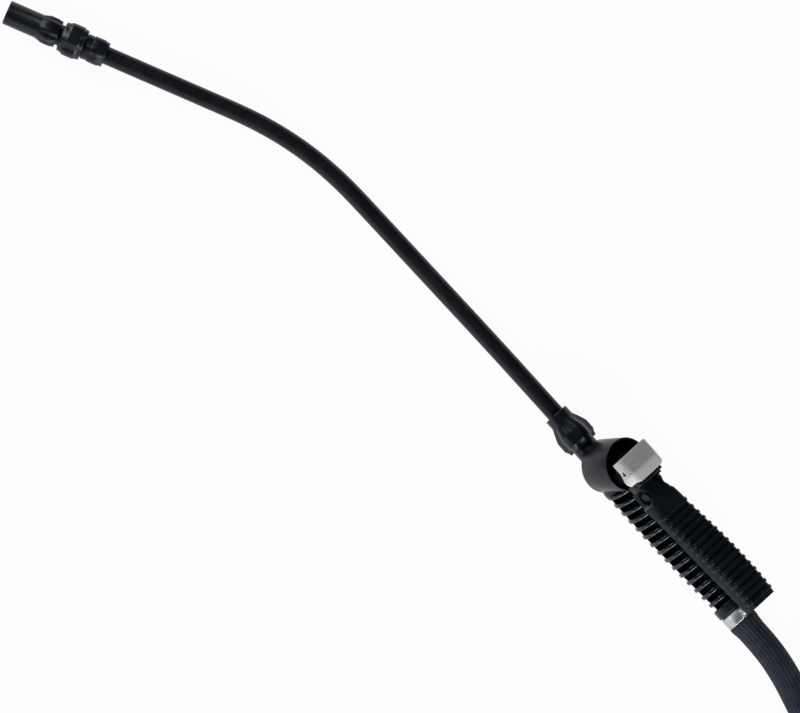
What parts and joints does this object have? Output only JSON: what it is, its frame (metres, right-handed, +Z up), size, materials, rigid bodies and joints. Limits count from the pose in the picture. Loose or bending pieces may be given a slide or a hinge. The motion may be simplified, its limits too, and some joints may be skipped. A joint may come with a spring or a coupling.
{
  "type": "spray lance",
  "caption": "Spray lance with a squeeze-lever valve handle, bent tube with an adjustable cone nozzle, thumb lock and clamped hose.",
  "frame": {"origin": "on the floor under the middle of the lance and handle, without the free hose", "axes": "+X along the handle's bore towards the hose, +Y across the floor, +Z up; the lance lies on its side as it does on a floor"},
  "size_m": [1.077, 0.2329, 0.1028],
  "materials": {
    "black_plastic": "satin, fine grain",
    "lever_plastic": "satin",
    "lock_plastic": "satin",
    "tube_coating": "satin coating",
    "steel": "bright",
    "brass": "machined",
    "hose_rubber": "matt, fine lengthwise lines",
    "seal_rubber": "matt",
    "pale_plastic": "natural"
  },
  "bodies": {
    "handle": {"grip_body": "black_plastic", "lance_nut": "black_plastic", "lance_seal": "seal_rubber", "valve_seat": "seal_rubber", "valve_bonnet": "brass", "stem_ring": "seal_rubber", "valve_spring": "steel", "lock_pin": "steel", "lever_pin": "steel", "lever_pin_clip": "steel", "strainer": "pale_plastic", "strainer_seal": "seal_rubber", "hose_barb": "brass", "hose_end": "hose_rubber", "clamp_band": "steel", "clamp_screw": "steel", "hose_run": "hose_rubber", "hose_coil": "hose_rubber", "far_hose_end": "hose_rubber", "far_clamp_band": "steel", "far_clamp_screw": "steel", "end_barb": "brass", "end_seal": "seal_rubber"},
    "lever": {"lever": "lever_plastic"},
    "stem": {"valve_stem": "brass", "link_pin": "steel"},
    "lock": {"thumb_lock": "lock_plastic"},
    "lance": {"lance_tube": "tube_coating", "lance_ferrule": "brass", "tube_nut": "black_plastic", "tube_collet": "pale_plastic", "nozzle_body": "black_plastic", "adjust_nut": "black_plastic", "nozzle_seal": "seal_rubber"},
    "spray_core": {"nozzle_disc": "steel", "swirl_core": "pale_plastic"},
    "spray_cap": {"nozzle_cap": "black_plastic"},
    "swivel_nut": {"end_nut": "brass"}
  },
  "joints": [
    {"name": "lever_squeeze", "type": "hinge", "parent": "handle", "child": "lever", "pos_m": [0.2331, 0.05317, 0.04204], "axis": [0, 0.866, -0.5], "range_deg": [0, 7], "stiffness_Nm_per_rad": 8, "springref_deg": -4.01},
    {"name": "valve_lift", "type": "slide", "parent": "handle", "child": "stem", "axis": [0.3567, 0.4671, 0.809], "range_m": [0, 0.00345], "deforming": ["valve_spring"]},
    {"name": "lock_rock", "type": "hinge", "parent": "handle", "child": "lock", "pos_m": [0.2094, 0.05757, 0.04966], "axis": [0, -0.866, 0.5], "range_deg": [0, 9]},
    {"name": "lance_swivel", "type": "hinge", "parent": "handle", "child": "lance", "pos_m": [0.1575, 0.03697, 0.01398], "axis": [1, 0, 0], "continuous": true},
    {"name": "core_travel", "type": "slide", "parent": "lance", "child": "spray_core", "axis": [-0.9107, -0.4131, 0], "range_m": [0, 0.0015]},
    {"name": "cap_turn", "type": "hinge", "parent": "spray_core", "child": "spray_cap", "pos_m": [-0.35856, -0.06676, 0.01398], "axis": [-0.9107, -0.4131, 0], "range_deg": [0, 270]},
    {"name": "nut_spin", "type": "hinge", "parent": "handle", "child": "swivel_nut", "pos_m": [0.69398, -0.00492, 0.08378], "axis": [0.8634, -0.5045, 0], "continuous": true}
  ],
  "couplings": [
    {"joint": "lever_squeeze", "follows": "valve_lift", "rad_per_m": 35.336},
    {"joint": "cap_turn", "follows": "core_travel", "rad_per_m": 3141.6}
  ]
}
